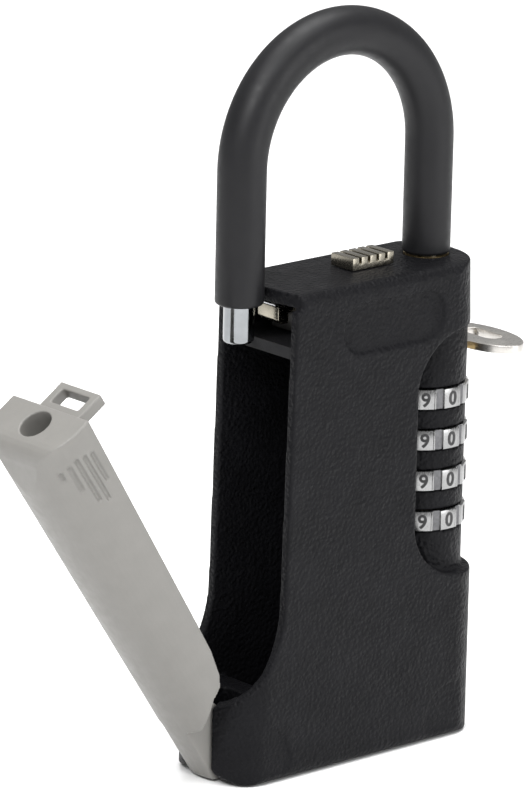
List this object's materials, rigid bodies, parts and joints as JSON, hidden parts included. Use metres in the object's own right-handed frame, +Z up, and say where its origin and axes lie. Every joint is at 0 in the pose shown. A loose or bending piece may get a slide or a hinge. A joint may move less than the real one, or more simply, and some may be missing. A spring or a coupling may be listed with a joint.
{
  "type": "key lock box",
  "caption": "Portable combination key safe that hangs by a sleeved shackle, with a bottom-hinged end door, dial wheels, slide release and override key.",
  "frame": {"origin": "on the plane of the flat base, half-way between the axes of the two shackle legs and half-way through the thickness", "axes": "X along the wide face from the door side to the wheel side, -Y out of the front face, +Z up towards the shackle"},
  "size_m": [0.1564, 0.029, 0.1877],
  "materials": {
    "case": "fine leather texture, powder coated",
    "inner": "matt coated",
    "steel": "plain zinc plated",
    "brass": "machined",
    "door": "satin warm grey coating",
    "chrome": "polished",
    "sleeve": "smooth soft sleeve",
    "nickel": "warm nickel plated",
    "dial": "bright nickel, dark filled digits",
    "key": "nickel plated",
    "lever": "moulded"
  },
  "bodies": {
    "case": {"housing": "case", "inner_partition": "inner", "partition_screws": "steel", "hinge_pin": "steel", "shackle_bush": "brass", "wheel_spindle": "steel", "wheel_spacers": "steel", "spindle_clip": "steel", "detent_spring": "steel", "cylinder_body": "brass", "cylinder_clip": "steel", "latch_spring": "steel"},
    "door": {"door_shell": "door", "door_hinge_bush": "brass"},
    "shackle_carrier": {"shackle_retainer": "steel"},
    "shackle": {"shackle_core": "chrome", "shackle_sleeve": "sleeve"},
    "slider": {"slide_button": "nickel", "slider_frame": "steel", "button_rivets": "steel"},
    "latch": {"latch_bolt": "nickel"},
    "wheel_1": {"dial_wheel_1": "dial", "wheel_hub_1": "brass"},
    "wheel_2": {"dial_wheel_2": "dial", "wheel_hub_2": "brass"},
    "wheel_3": {"dial_wheel_3": "dial", "wheel_hub_3": "brass"},
    "wheel_4": {"dial_wheel_4": "dial", "wheel_hub_4": "brass"},
    "plug": {"lock_plug": "brass", "lock_cam": "steel", "cam_screw": "steel"},
    "key": {"override_key": "key"},
    "code_lever": {"code_change_lever": "lever"}
  },
  "joints": [
    {"name": "door_swing", "type": "hinge", "parent": "case", "child": "door", "pos_m": [-0.0335, 0, 0.005], "axis": [0, 1, 0], "range_deg": [0, 23.5]},
    {"name": "shackle_lift", "type": "slide", "parent": "case", "child": "shackle_carrier", "axis": [0, 0, 1], "range_m": [0, 0.01]},
    {"name": "shackle_swivel", "type": "hinge", "parent": "shackle_carrier", "child": "shackle", "pos_m": [0.0305, 0, 0.11], "axis": [0, 0, 1], "continuous": true},
    {"name": "slide_travel", "type": "slide", "parent": "case", "child": "slider", "axis": [1, 0, 0], "range_m": [0, 0.004], "stiffness_N_per_m": 150},
    {"name": "latch_lift", "type": "slide", "parent": "case", "child": "latch", "axis": [0, 0, 1], "range_m": [0, 0.0024], "deforming": ["latch_spring"]},
    {"name": "wheel_1_turn", "type": "hinge", "parent": "case", "child": "wheel_1", "pos_m": [0.03, 0, 0.0874], "axis": [0, 0, 1], "continuous": true},
    {"name": "wheel_2_turn", "type": "hinge", "parent": "case", "child": "wheel_2", "pos_m": [0.03, 0, 0.07695], "axis": [0, 0, 1], "continuous": true},
    {"name": "wheel_3_turn", "type": "hinge", "parent": "case", "child": "wheel_3", "pos_m": [0.03, 0, 0.0665], "axis": [0, 0, 1], "continuous": true},
    {"name": "wheel_4_turn", "type": "hinge", "parent": "case", "child": "wheel_4", "pos_m": [0.03, 0, 0.05605], "axis": [0, 0, 1], "continuous": true},
    {"name": "plug_turn", "type": "hinge", "parent": "case", "child": "plug", "pos_m": [0.033, 0, 0.097], "axis": [1, 0, 0], "range_deg": [0, 90]},
    {"name": "key_slide", "type": "slide", "parent": "plug", "child": "key", "axis": [1, 0, 0], "range_m": [0, 0.0135]},
    {"name": "code_lever_slide", "type": "slide", "parent": "case", "child": "code_lever", "axis": [0, 0, 1], "range_m": [0, 0.0035]}
  ],
  "couplings": [
    {"joint": "latch_lift", "follows": "slide_travel", "ratio": 0.6}
  ]
}
